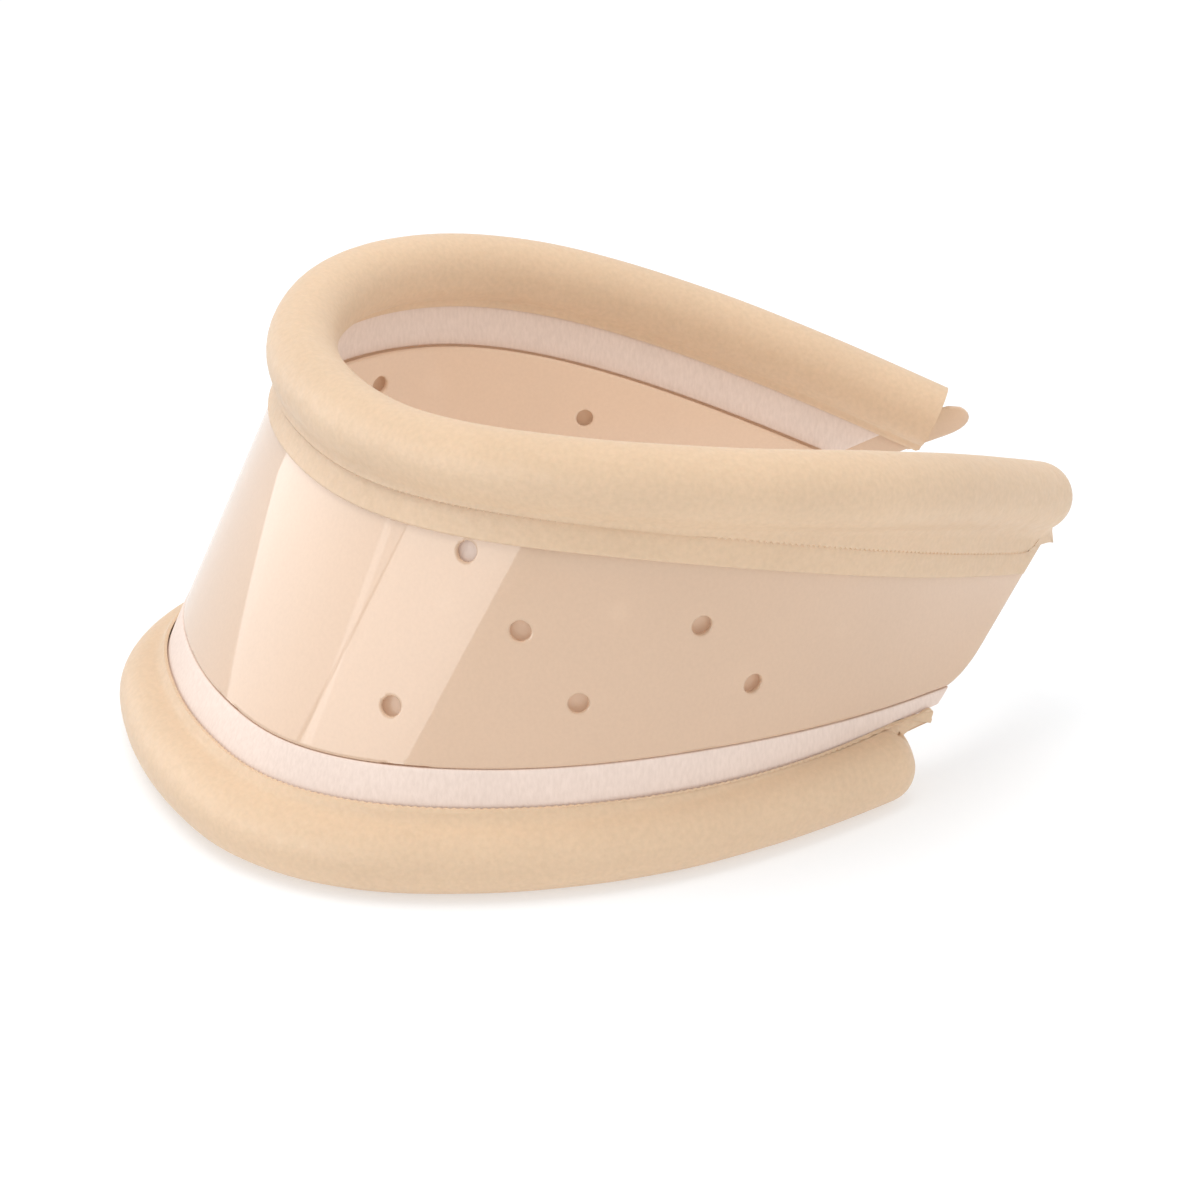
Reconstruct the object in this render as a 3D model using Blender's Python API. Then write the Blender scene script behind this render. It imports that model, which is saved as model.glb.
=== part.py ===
"""Height-adjustable plastic cervical collar, open at the back.

Two nested bands of thin plastic make the wall. The outer one hangs from the
top roll and slides up over the inner one, which stands on the bottom roll.
Each roll is a foam core in a vinyl cover, whose two lips clamp the band's edge
between an outer and an inner tape.

Frame: metres, +Z up. The chin side faces -Y, the opening faces +Y, and the
collar stands on its bottom roll at z = 0. X = 0 is the plane of symmetry.

A place along either roll is a fraction: 0 at the front middle, 1 at the rear
end on the +X side, -1 at the rear end on the -X side.
"""

import math
from collections import namedtuple

import bmesh
import bpy
import numpy as np
from mathutils import Vector

MM = 0.001

# Centre line of the top roll, front middle to rear end: fraction, x, y, z in mm.
TOP_LINE = (
    (0.00, 0.0, -60.14, 79.4),
    (0.08, 19.0, -58.54, 79.6),
    (0.17, 38.6, -52.14, 80.5),
    (0.30, 60.5, -34.54, 81.4),
    (0.47, 72.8, -1.34, 78.0),
    (0.72, 59.0, 48.26, 63.8),
    (1.00, 26.4, 100.86, 40.2),
)
# Centre line of the bottom roll: fraction, x, y in mm. It lies flat.
BOTTOM_LINE = (
    (0.00, 0.0, -96.74),
    (0.08, 15.3, -95.74),
    (0.17, 31.5, -92.14),
    (0.30, 50.6, -78.84),
    (0.47, 66.0, -49.74),
    (0.72, 71.8, -4.54),
    (1.00, 62.3, 44.86),
)

ROLL_RADIUS = 7.6
COVER_THICKNESS = 1.0
FOAM_RADIUS = 6.1
FLAT_HALF_ANGLE = math.radians(14)
# Rear ends of the rolls, -X side then +X side.
TOP_ROLL_ENDS = (-0.993, 0.965)
BOTTOM_ROLL_ENDS = (-0.975, 0.975)

LIP_THICKNESS = 0.8
# Edges along the wall: fraction, mm square to the roll from its centre.
TOP_SEAM_DROP = (
    (0.00, 8.6),
    (0.15, 8.4),
    (0.30, 8.2),
    (0.40, 8.8),
    (0.50, 10.2),
    (0.62, 11.9),
    (0.78, 13.0),
    (1.00, 11.4),
)
BOTTOM_SEAM_RISE = (
    (0.00, 10.0),
    (0.30, 10.3),
    (0.50, 10.0),
    (0.70, 9.0),
    (0.85, 8.2),
    (1.00, 8.0),
)
BOTTOM_STRIP_TOP = (
    (0.00, 17.7),
    (0.20, 18.0),
    (0.45, 17.6),
    (0.60, 16.7),
    (0.75, 14.1),
    (0.90, 11.2),
    (1.00, 10.0),
)
BOTTOM_INNER_TAPE_TOP = (
    (0.00, 21.6),
    (0.20, 21.4),
    (0.40, 20.3),
    (0.70, 17.0),
    (1.00, 13.0),
)
INNER_LIP_REACH = 9.0

# Offsets outward from the surface between the two centre lines, in mm.
UPPER_BAND = (-0.2, 1.0)
TOP_OUTER_TAPE = (1.3, 2.0)
TOP_INNER_TAPE = (-1.2, -0.5)
LOWER_BAND = (-2.6, -1.4)
BOTTOM_OUTER_TAPE = (-1.1, 1.4)
BOTTOM_INNER_TAPE = (-3.6, -2.9)
LAYER_GAP = 0.3

OUTER_FLANGE_WIDTH = 5.5
TOP_INNER_TAPE_REACH = 18.5
BOTTOM_TAPE_FOOT = 7.6
EDGE_IN_ROLL = 7.1
BAND_GAP = 0.8

NEAR_BAND_END = 0.995
FAR_BAND_END = -1.02
TOP_TAPE_END = 0.985
CORNER_RADIUS = 6.0
# Length of either half of the wall, which one unit of fraction spans.
HALF_LENGTH = 190.0

HOLE_DIAMETER = 4.0
HOLE_SIDES = 10
# Vent holes: fraction along the wall, share of the wall's height. Both sides have them.
UPPER_HOLES = (
    (0.255, 0.79),
    (0.345, 0.61),
    (0.510, 0.635),
    (0.270, 0.38),
    (0.440, 0.425),
    (0.620, 0.45),
)
LOWER_HOLES = (
    (0.260, 0.655),
    (0.425, 0.66),
    (0.715, 0.57),
)

PATCH_THICKNESS = 0.7
PATCH_HEIGHT = 0.15
HOOK_PATCH = (0.76, 0.96)
LOOP_PATCH = (-0.98, -0.76)
PATCH_MIDDLE = 0.55

# Sections that every piece along the wall shares, so that its layers stay parallel.
SECTIONS = 47
ROW_HEIGHT = 12.0
ARC_POINTS = 6

TAN_VINYL = (0.80, 0.60, 0.41)
WHITE_TAPE = (0.87, 0.78, 0.72)
FLESH_PLASTIC = (0.80, 0.64, 0.52)
FOAM = (0.86, 0.80, 0.62)
PATCH = (0.75, 0.60, 0.46)


# toward_wall is 1 where the wall rises from the roll and -1 where it hangs from it.
Roll = namedtuple("Roll", "line ends toward_wall lies_flat share outer_reach")


def clear_scene():
    for obj in list(bpy.data.objects):
        bpy.data.objects.remove(obj, do_unlink=True)


def material(name, colour, roughness):
    made = bpy.data.materials.new(name)
    made.use_nodes = True
    shader = made.node_tree.nodes["Principled BSDF"]
    shader.inputs["Base Color"].default_value = (*colour, 1.0)
    shader.inputs["Roughness"].default_value = roughness
    shader.inputs["Metallic"].default_value = 0.0
    return made


def natural_spline(knots, values, where):
    """Cubic spline through the values, straight at both ends."""
    count = len(knots)
    step = np.diff(knots)
    slope = np.diff(values, axis=0) / step[:, None]
    matrix = np.eye(count)
    right = np.zeros_like(values)
    for i in range(1, count - 1):
        matrix[i, i - 1] = step[i - 1]
        matrix[i, i] = 2 * (step[i - 1] + step[i])
        matrix[i, i + 1] = step[i]
        right[i] = 6 * (slope[i] - slope[i - 1])
    bend = np.linalg.solve(matrix, right)
    index = np.clip(np.searchsorted(knots, where) - 1, 0, count - 2)
    width = step[index][:, None]
    low = (where - knots[index])[:, None]
    high = width - low
    inside = bend[index] * high**3 + bend[index + 1] * low**3
    ends = (values[index] / width - bend[index] * width / 6) * high
    ends += (values[index + 1] / width - bend[index + 1] * width / 6) * low
    return inside / (6 * width) + ends


def mirrored_spline(rows, signs, fraction):
    """Spline through rows of fraction and values, whose -X side mirrors the +X side."""
    half = np.array(rows)
    whole = np.concatenate([half[:0:-1] * [-1, *signs], half])
    return natural_spline(whole[:, 0], whole[:, 1:], np.asarray(fraction, float))


def centre_line(rows, fraction):
    """Points in mm on the roll's centre line."""
    return mirrored_spline(rows, (-1, 1, 1), fraction)


def edge_line(rows, fraction):
    """Distance in mm of an edge from the roll's centre line."""
    return mirrored_spline(rows, (1,), fraction)[:, 0]


def top_line(fraction):
    return centre_line(TOP_LINE, fraction)


def bottom_line(fraction):
    height = ROLL_RADIUS * math.cos(FLAT_HALF_ANGLE)
    rows = [(*row, height) for row in BOTTOM_LINE]
    return centre_line(rows, fraction)


def unit(vectors):
    return vectors / np.linalg.norm(vectors, axis=-1, keepdims=True)


def sections(start, end, near_end=()):
    """The shared sections from start to end, with more at these distances in from both ends."""
    shared = np.linspace(-1, 1, SECTIONS)
    ease = np.array([0.0, *near_end])
    margin = ease[-1] + 0.01
    inside = shared[(shared > start + margin) & (shared < end - margin)]
    return np.concatenate([start + ease, inside, (end - ease)[::-1]])


def tangent(line, fraction):
    step = 0.002
    return unit(line(fraction + step) - line(fraction - step))


def wall_point(fraction, share, offset=0.0):
    """A point on the wall: share 0 at the bottom roll, 1 at the top, offset outward in mm."""
    fraction = np.asarray(fraction, float)
    share = np.broadcast_to(np.asarray(share, float), fraction.shape)[:, None]

    def surface(at):
        return bottom_line(at) * (1 - share) + top_line(at) * share

    step = 0.002
    along = surface(fraction + step) - surface(fraction - step)
    rise = top_line(fraction) - bottom_line(fraction)
    return surface(fraction) + unit(np.cross(along, rise)) * offset


def wall_height(fraction):
    return np.linalg.norm(top_line(fraction) - bottom_line(fraction), axis=1)


def share_below_top(fraction, distance):
    """Share of the wall's height that lies this far below the top roll's centre, square to it."""
    rise = top_line(fraction) - bottom_line(fraction)
    square = np.linalg.norm(np.cross(tangent(top_line, fraction), rise), axis=1)
    return 1 - distance / square


def share_above_bottom(fraction, distance):
    rise = top_line(fraction) - bottom_line(fraction)
    square = np.linalg.norm(np.cross(tangent(bottom_line, fraction), rise), axis=1)
    return distance / square


def add_object(name, mesh_builder, finish):
    bmesh.ops.remove_doubles(mesh_builder, verts=mesh_builder.verts, dist=1e-7)
    bmesh.ops.recalc_face_normals(mesh_builder, faces=mesh_builder.faces)
    mesh = bpy.data.meshes.new(name)
    mesh_builder.to_mesh(mesh)
    mesh_builder.free()
    mesh.shade_smooth()
    mesh.set_sharp_from_angle(angle=math.radians(40))
    mesh.materials.append(finish)
    made = bpy.data.objects.new(name, mesh)
    bpy.context.scene.collection.objects.link(made)
    return made


def sweep(name, rings, finish):
    """A closed solid from equal rings of points (stations, points, 3).

    Each ring runs along one face and back along the other, so an end is closed
    by triangles between opposite points.
    """
    builder = bmesh.new()
    loops = [[builder.verts.new(Vector(point) * MM) for point in ring] for ring in rings]
    count = len(loops[0])
    for first, second in zip(loops, loops[1:]):
        for i in range(count):
            j = (i + 1) % count
            builder.faces.new((first[i], first[j], second[j], second[i]))
    for ring in (loops[0], loops[-1]):
        for i in range(count // 2 - 1):
            builder.faces.new((ring[i], ring[i + 1], ring[-1 - i]))
            builder.faces.new((ring[i + 1], ring[-2 - i], ring[-1 - i]))
    return add_object(name, builder, finish)


def arc(centre, axes, radius, start, end):
    """Points round the roll from one lip's angle to the other's, with a flat across its far side."""
    out, away = axes
    first = np.linspace(start, FLAT_HALF_ANGLE, ARC_POINTS)
    second = np.linspace(-FLAT_HALF_ANGLE, end, ARC_POINTS)
    points = []
    for angle in np.concatenate([first, second]):
        ray = np.sin(angle)[:, None] * out + np.cos(angle)[:, None] * away
        points.append(centre + ray * radius)
    return points


def lip_angle(axes, wall_axes, radius, offset, side):
    """Angle, from the far side, at which a lip at this offset meets the roll; side is +1 or -1."""
    out, away = axes
    wall_out, wall_along = wall_axes
    along = math.sqrt(radius**2 - offset**2)
    ray = wall_out * offset + wall_along * along
    angle = np.arctan2((ray * out).sum(1), (ray * away).sum(1))
    return np.where(angle * side < 0, angle + side * 2 * math.pi, angle)


def roll_axes(roll, fraction):
    """Outward and away-from-wall axes of the roll, and outward and along-wall axes of its wall."""
    along = tangent(roll.line, fraction)
    rise = (top_line(fraction) - bottom_line(fraction)) * roll.toward_wall
    wall_along = unit(rise - along * (rise * along).sum(1, keepdims=True))
    wall_out = unit(np.cross(along, wall_along)) * roll.toward_wall
    if not roll.lies_flat:
        return (wall_out, -wall_along), (wall_out, wall_along)
    away = np.broadcast_to([0.0, 0.0, -1.0], along.shape)
    return (unit(np.cross(away, along)), away), (wall_out, wall_along)


def lip_edge(roll, fraction, reach, offset):
    """Edge of a lip that runs this far along the wall, square to the roll."""
    step = 0.002
    along = (roll.line(fraction + step) - roll.line(fraction - step)) / (2 * step)
    speed = np.linalg.norm(along, axis=1)
    rise = top_line(fraction) - bottom_line(fraction)
    lean = (along * rise).sum(1) / np.linalg.norm(np.cross(along, rise), axis=1)
    shifted = fraction - roll.toward_wall * reach * lean / speed
    return wall_point(shifted, roll.share(shifted, reach), offset)


def roll_cover(name, roll, outer_lip, inner_lip, finish):
    """The vinyl cover: a tube, open along the wall, whose edges run on as two lips."""
    fraction = sections(*roll.ends)
    axes, wall_axes = roll_axes(roll, fraction)
    centre = roll.line(fraction)
    inside = ROLL_RADIUS - COVER_THICKNESS
    outer_face = outer_lip + LIP_THICKNESS
    inner_face = inner_lip - LIP_THICKNESS
    start = lip_angle(axes, wall_axes, ROLL_RADIUS, outer_face, 1)
    end = lip_angle(axes, wall_axes, ROLL_RADIUS, inner_face, -1)
    inside_start = lip_angle(axes, wall_axes, inside, outer_lip, 1)
    inside_end = lip_angle(axes, wall_axes, inside, inner_lip, -1)
    outer_reach = edge_line(roll.outer_reach, fraction)
    profile = [lip_edge(roll, fraction, outer_reach, outer_face)]
    profile += arc(centre, axes, ROLL_RADIUS, start, end)
    profile.append(lip_edge(roll, fraction, INNER_LIP_REACH, inner_face))
    profile.append(lip_edge(roll, fraction, INNER_LIP_REACH, inner_lip))
    profile += arc(centre, axes, inside, inside_start, inside_end)[::-1]
    profile.append(lip_edge(roll, fraction, outer_reach, outer_lip))
    return sweep(name, np.stack(profile, axis=1), finish)


def roll_foam(name, roll, finish):
    fraction = sections(*roll.ends)
    (out, away), _ = roll_axes(roll, fraction)
    ring = []
    for angle in np.linspace(0, 2 * math.pi, 2 * ARC_POINTS, endpoint=False):
        ray = math.sin(angle) * out + math.cos(angle) * away
        ring.append(roll.line(fraction) + ray * FOAM_RADIUS)
    return sweep(name, np.stack(ring, axis=1), finish)


def band_sections(start, end):
    """Sections of a band, closer together where its corners are rounded."""
    corner = CORNER_RADIUS / HALF_LENGTH
    return sections(start, end, (0.1 * corner, 0.35 * corner, 0.7 * corner, corner))


def corner_cut(fraction, start, end):
    """How far, in mm, a rounded corner takes the band's edge back at each section."""
    from_end = np.minimum(fraction - start, end - fraction) * HALF_LENGTH
    short = np.clip(CORNER_RADIUS - from_end, 0, CORNER_RADIUS)
    return CORNER_RADIUS - np.sqrt(CORNER_RADIUS**2 - short**2)


def strip(name, fraction, low_share, high_share, offsets, finish):
    """A thin solid on the wall between two edges, from one offset to the other."""
    inner, outer = offsets
    height = np.max((high_share - low_share) * wall_height(fraction))
    climb = np.linspace(0, 1, 1 + math.ceil(height / ROW_HEIGHT))
    ring = [wall_point(fraction, low_share + (high_share - low_share) * up, outer) for up in climb]
    ring += [wall_point(fraction, low_share + (high_share - low_share) * up, inner) for up in climb[::-1]]
    return sweep(name, np.stack(ring, axis=1), finish)


def punch_holes(band, holes, offsets):
    """Cuts the vent holes, mirrored on both sides, with one hidden cutter."""
    builder = bmesh.new()
    for fraction, share in holes:
        for side in (-1, 1):
            add_punch(builder, side * fraction, share, offsets)
    bmesh.ops.recalc_face_normals(builder, faces=builder.faces)
    mesh = bpy.data.meshes.new(band.name + "_punch")
    builder.to_mesh(mesh)
    builder.free()
    cutter = bpy.data.objects.new(band.name + "_punch", mesh)
    cutter.hide_render = True
    cutter.display_type = "WIRE"
    bpy.context.scene.collection.objects.link(cutter)
    cut = band.modifiers.new("holes", "BOOLEAN")
    cut.operation = "DIFFERENCE"
    cut.solver = "EXACT"
    cut.object = cutter


def add_punch(builder, fraction, share, offsets):
    margin = 1.0
    ends = wall_point(np.array([fraction, fraction]), share, np.array([[offsets[0]], [offsets[1]]]))
    low, high = (Vector(end) for end in ends)
    axis = (high - low).normalized()
    low -= axis * margin
    high += axis * margin
    side = axis.orthogonal().normalized()
    other = axis.cross(side)
    rings = []
    for centre in (low, high):
        ring = []
        for i in range(HOLE_SIDES):
            angle = 2 * math.pi * i / HOLE_SIDES
            ray = (side * math.cos(angle) + other * math.sin(angle)) * (HOLE_DIAMETER / 2)
            ring.append(builder.verts.new((centre + ray) * MM))
        rings.append(ring)
    for i in range(HOLE_SIDES):
        j = (i + 1) % HOLE_SIDES
        builder.faces.new((rings[0][i], rings[0][j], rings[1][j], rings[1][i]))
    builder.faces.new(rings[0])
    builder.faces.new(rings[1])


def strip_top_share(fraction):
    """Upper edge of the strip above the bottom roll, as a share of the wall's height."""
    return share_above_bottom(fraction, edge_line(BOTTOM_STRIP_TOP, fraction))


def top_assembly(finishes):
    """The outer band and all that moves up with it."""
    band = band_sections(FAR_BAND_END, NEAR_BAND_END)
    cut = corner_cut(band, FAR_BAND_END, NEAR_BAND_END)
    low = strip_top_share(band) + share_above_bottom(band, BAND_GAP + cut)
    high = share_below_top(band, EDGE_IN_ROLL + cut)
    sheet = strip("upper_band", band, low, high, UPPER_BAND, finishes["plastic"])
    punch_holes(sheet, UPPER_HOLES, UPPER_BAND)

    tape = sections(-TOP_TAPE_END, TOP_TAPE_END)
    covered = share_below_top(tape, EDGE_IN_ROLL)
    flange = edge_line(TOP_SEAM_DROP, tape) + OUTER_FLANGE_WIDTH
    strip("top_outer_tape", tape, share_below_top(tape, flange), covered, TOP_OUTER_TAPE, finishes["vinyl"])
    reach = share_below_top(tape, TOP_INNER_TAPE_REACH)
    strip("top_inner_tape", tape, reach, covered, TOP_INNER_TAPE, finishes["tape"])

    roll = Roll(top_line, TOP_ROLL_ENDS, -1, False, share_below_top, TOP_SEAM_DROP)
    roll_foam("top_roll_foam", roll, finishes["foam"])
    outer_lip = TOP_OUTER_TAPE[1] + LAYER_GAP
    inner_lip = TOP_INNER_TAPE[0] - LAYER_GAP
    roll_cover("top_roll_cover", roll, outer_lip, inner_lip, finishes["vinyl"])


def bottom_assembly(finishes):
    """The inner band and the roll that it stands on."""
    band = band_sections(-NEAR_BAND_END, NEAR_BAND_END)
    cut = corner_cut(band, -NEAR_BAND_END, NEAR_BAND_END)
    high = share_below_top(band, TOP_INNER_TAPE_REACH + BAND_GAP + cut)
    low = share_above_bottom(band, EDGE_IN_ROLL)
    sheet = strip("lower_band", band, low, high, LOWER_BAND, finishes["plastic"])
    punch_holes(sheet, LOWER_HOLES, LOWER_BAND)

    tape = sections(*BOTTOM_ROLL_ENDS)
    covered = share_above_bottom(tape, BOTTOM_TAPE_FOOT)
    top = strip_top_share(tape)
    strip("bottom_outer_tape", tape, covered, top, BOTTOM_OUTER_TAPE, finishes["tape"])
    reach = share_above_bottom(tape, edge_line(BOTTOM_INNER_TAPE_TOP, tape))
    strip("bottom_inner_tape", tape, covered, reach, BOTTOM_INNER_TAPE, finishes["vinyl"])

    roll = Roll(bottom_line, BOTTOM_ROLL_ENDS, 1, True, share_above_bottom, BOTTOM_SEAM_RISE)
    roll_foam("bottom_roll_foam", roll, finishes["foam"])
    outer_lip = BOTTOM_OUTER_TAPE[1] + LAYER_GAP
    inner_lip = BOTTOM_INNER_TAPE[0] - LAYER_GAP
    roll_cover("bottom_roll_cover", roll, outer_lip, inner_lip, finishes["vinyl"])


def closure(finishes):
    """Hook patch inside the +X end and loop patch outside the -X end, which lap to close the collar."""
    low, high = PATCH_MIDDLE - PATCH_HEIGHT / 2, PATCH_MIDDLE + PATCH_HEIGHT / 2
    hook = sections(*HOOK_PATCH)
    back = LOWER_BAND[0] - LAYER_GAP
    strip("closure_hook_patch", hook, low, high, (back - PATCH_THICKNESS, back), finishes["patch"])
    loop = sections(*LOOP_PATCH)
    face = UPPER_BAND[1] + LAYER_GAP
    strip("closure_loop_patch", loop, low, high, (face, face + PATCH_THICKNESS), finishes["patch"])


def build():
    clear_scene()
    finishes = {
        "vinyl": material("tan vinyl", TAN_VINYL, 0.55),
        "tape": material("white tape", WHITE_TAPE, 0.6),
        "plastic": material("flesh plastic", FLESH_PLASTIC, 0.25),
        "foam": material("foam", FOAM, 0.95),
        "patch": material("hook and loop", PATCH, 0.9),
    }
    top_assembly(finishes)
    bottom_assembly(finishes)
    closure(finishes)


build()
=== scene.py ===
"""Looks of the cervical collar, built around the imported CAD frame.

Every piece is made from the two roll centre lines and the ruled wall between
them, the same design values as the CAD part, so each piece sits in its CAD
node's space. A place along the wall is a fraction: 0 at the front middle, 1 at
the rear end on the +X side. A share of the wall's height is 0 at the bottom
roll's centre and 1 at the top roll's. Lengths are in mm until a mesh is made.
"""

import math
from collections import namedtuple

import bmesh
import bpy
import numpy as np
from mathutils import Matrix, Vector
from mathutils.geometry import delaunay_2d_cdt


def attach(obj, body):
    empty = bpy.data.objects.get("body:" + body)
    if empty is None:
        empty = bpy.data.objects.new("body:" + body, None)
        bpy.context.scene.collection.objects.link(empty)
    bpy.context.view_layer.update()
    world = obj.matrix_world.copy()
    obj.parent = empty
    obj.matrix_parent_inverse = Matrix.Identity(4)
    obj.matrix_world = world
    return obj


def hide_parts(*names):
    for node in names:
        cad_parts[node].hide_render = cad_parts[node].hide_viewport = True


MM = 0.001
# Length of the wall from the front middle to a rear end.
HALF_LENGTH = 190.0

# Roll centre lines: fraction, x, y, z in mm.
TOP_LINE = (
    (0.00, 0.0, -60.14, 79.4),
    (0.08, 19.0, -58.54, 79.6),
    (0.17, 38.6, -52.14, 80.5),
    (0.30, 60.5, -34.54, 81.4),
    (0.47, 72.8, -1.34, 78.0),
    (0.72, 59.0, 48.26, 63.8),
    (1.00, 26.4, 100.86, 40.2),
)
BOTTOM_LINE = (
    (0.00, 0.0, -96.74),
    (0.08, 15.3, -95.74),
    (0.17, 31.5, -92.14),
    (0.30, 50.6, -78.84),
    (0.47, 66.0, -49.74),
    (0.72, 71.8, -4.54),
    (1.00, 62.3, 44.86),
)

# Rolls. The bottom one is pressed flat over FLAT_HALF_ANGLE to each side of its lowest line, and its
# foam ends FOAM_FLOOR above the floor.
ROLL_RADIUS = 7.6
COVER_THICKNESS = 1.0
FOAM_RADIUS = 6.45
FOAM_FLOOR = 1.05
FLAT_HALF_ANGLE = math.radians(14)
TOP_ROLL_ENDS = (-0.993, 0.965)
BOTTOM_ROLL_ENDS = (-0.975, 0.975)
LIP_THICKNESS = 0.8
LIP_EDGE = 0.3

# Edges along the wall: fraction, mm square to the roll from its centre.
TOP_SEAM_DROP = (
    (0.00, 8.6), (0.15, 8.4), (0.30, 8.2), (0.40, 8.8),
    (0.50, 10.2), (0.62, 11.9), (0.78, 13.0), (1.00, 11.4),
)
BOTTOM_SEAM_RISE = ((0.00, 10.0), (0.30, 10.3), (0.50, 10.0), (0.70, 9.0), (0.85, 8.2), (1.00, 8.0))
BOTTOM_STRIP_TOP = (
    (0.00, 17.7), (0.20, 18.0), (0.45, 17.6), (0.60, 16.7), (0.75, 14.1), (0.90, 11.2), (1.00, 10.0),
)
BOTTOM_INNER_TAPE_TOP = ((0.00, 21.6), (0.20, 21.4), (0.40, 20.3), (0.70, 17.0), (1.00, 13.0))
INNER_LIP_REACH = 9.0
OUTER_FLANGE_WIDTH = 5.5
TOP_INNER_TAPE_REACH = 18.5
BOTTOM_TAPE_FOOT = 7.6
EDGE_IN_ROLL = 7.1
BAND_GAP = 0.1
INNER_BAND_GAP = 0.25

# Ends of the bands and tapes, as fractions.
NEAR_BAND_END = 0.995
FAR_BAND_END = -1.024
TOP_TAPE_ENDS = (-0.985, 0.985)
WHITE_STRIP_ENDS = (-0.98, 0.978)
CORNER_RADIUS = 5.5

# The outer band's tab, past the cut end of the top roll, stands higher than the rest.
TAB_START = -0.972
TAB_RISE_LENGTH = 0.02
TAB_RISE = 12.0

# Offsets outward from the ruled wall, inner face then outer face.
UPPER_BAND = (-0.2, 1.0)
TOP_OUTER_TAPE = (1.3, 2.0)
TOP_INNER_TAPE = (-1.2, -0.5)
LOWER_BAND = (-2.6, -1.4)
BOTTOM_OUTER_TAPE = (-1.1, 1.05)
BOTTOM_INNER_TAPE = (-3.6, -2.9)
BOTTOM_OUTER_LIP = 1.4
LAYER_GAP = 0.3

# Bands: how far the rounded rim bulges, and the mesh inside it. GRID_HEIGHT is the wall's height as
# it is laid out flat to be meshed.
RIM_BULGE = 0.3
GRID_INSET = 0.8
GRID_COLUMNS = 300
GRID_ROWS = 11
GRID_HEIGHT = 70.0
LONGEST_EDGE = 9.0

# Vent holes of one side: fraction and share.
HOLE_RADIUS = 2.0
HOLE_SIDES = 36
UPPER_HOLES = ((0.255, 0.79), (0.345, 0.61), (0.51, 0.635), (0.27, 0.38), (0.44, 0.425), (0.62, 0.45))
LOWER_HOLES = ((0.26, 0.655), (0.425, 0.66), (0.715, 0.57))

# Closure patches: shares across, fractions along. The wall is about WALL_AT_PATCH high there.
PATCH_MIDDLE = 0.55
PATCH_HEIGHT = 0.15
PATCH_LOW = PATCH_MIDDLE - PATCH_HEIGHT / 2
PATCH_HIGH = PATCH_MIDDLE + PATCH_HEIGHT / 2
PATCH_BACKING = 0.4
WALL_AT_PATCH = 60.0
HOOK_PATCH = (0.76, 0.96)
LOOP_PATCH = (-0.98, -0.76)

# A tooth of the pinked seam edge, along the seam.
TOOTH_PITCH = 1.5

# The +X end of a cover. The closed tube is lifted into the seam, the lips come flush with the
# wall, and they get shorter up to their end. The lengths along the seam are fractions.
DOME_LIFT = 6.5
DOME_LIFT_LEAD = 0.012
DOME_LIFT_LENGTH = 0.02
FLUSH_START = 0.9
FLUSH_LENGTH = 0.06
RUN_OUT_LENGTH = 0.018
INNER_RUN_OUT = 3.5

# Camera, from the front middle round towards +X, and above the floor.
CAMERA_AZIMUTH = math.radians(66.0)
CAMERA_ELEVATION = math.radians(25.32)
CAMERA_DISTANCE = 571.3
CAMERA_TARGET = (0.0, -2.21, 23.32)
CAMERA_LENS = 78.47
CAMERA_SHIFT = (0.0073, 0.0018)

# Floor and world, with light set so that the floor stays nearly white.
FLOOR_SIZE = 20.0
FLOOR_COLOUR = (0.61, 0.63, 0.65)
FLOOR_GLOW = 0.42
WORLD_STRENGTH = 0.79

# toward_wall is 1 where the wall rises from the roll and -1 where it hangs. share turns mm from the
# roll's centre into a share of the wall's height. outer_lip and inner_lip are offsets of the lips'
# faces against the tapes, and run_out is how much shorter the outer lip gets at lip_end.
Roll = namedtuple(
    "Roll",
    "line ends lip_end toward_wall lies_flat share outer_reach outer_lip inner_lip tooth_depth run_out",
)


# ---------------------------------------------------------------- the wall

def natural_spline(knots, values, where):
    """Cubic spline through the values, straight at both ends."""
    count = len(knots)
    step = np.diff(knots)
    slope = np.diff(values, axis=0) / step[:, None]
    matrix = np.eye(count)
    right = np.zeros_like(values)
    for i in range(1, count - 1):
        matrix[i, i - 1] = step[i - 1]
        matrix[i, i] = 2 * (step[i - 1] + step[i])
        matrix[i, i + 1] = step[i]
        right[i] = 6 * (slope[i] - slope[i - 1])
    bend = np.linalg.solve(matrix, right)
    index = np.clip(np.searchsorted(knots, where) - 1, 0, count - 2)
    width = step[index][:, None]
    low = (where - knots[index])[:, None]
    high = width - low
    inside = bend[index] * high**3 + bend[index + 1] * low**3
    ends = (values[index] / width - bend[index] * width / 6) * high
    ends += (values[index + 1] / width - bend[index + 1] * width / 6) * low
    return inside / (6 * width) + ends


def mirrored_spline(rows, signs, fraction):
    """Spline through rows of fraction and values, whose -X side mirrors the +X side."""
    half = np.array(rows)
    whole = np.concatenate([half[:0:-1] * [-1, *signs], half])
    return natural_spline(whole[:, 0], whole[:, 1:], np.asarray(fraction, float))


def centre_line(rows, fraction):
    return mirrored_spline(rows, (-1, 1, 1), fraction)


def edge_line(rows, fraction):
    return mirrored_spline(rows, (1,), fraction)[:, 0]


def top_line(fraction):
    return centre_line(TOP_LINE, fraction)


def bottom_line(fraction):
    height = ROLL_RADIUS * math.cos(FLAT_HALF_ANGLE)
    rows = [(*row, height) for row in BOTTOM_LINE]
    return centre_line(rows, fraction)


def smooth_rise(height, share):
    """Rises smoothly from 0 to height as share goes from 0 to 1."""
    share = np.clip(share, 0, 1)
    return height * share * share * (3 - 2 * share)


def unit(vectors):
    return vectors / np.linalg.norm(vectors, axis=-1, keepdims=True)


def tangent(line, fraction):
    step = 0.002
    return unit(line(fraction + step) - line(fraction - step))


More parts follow.
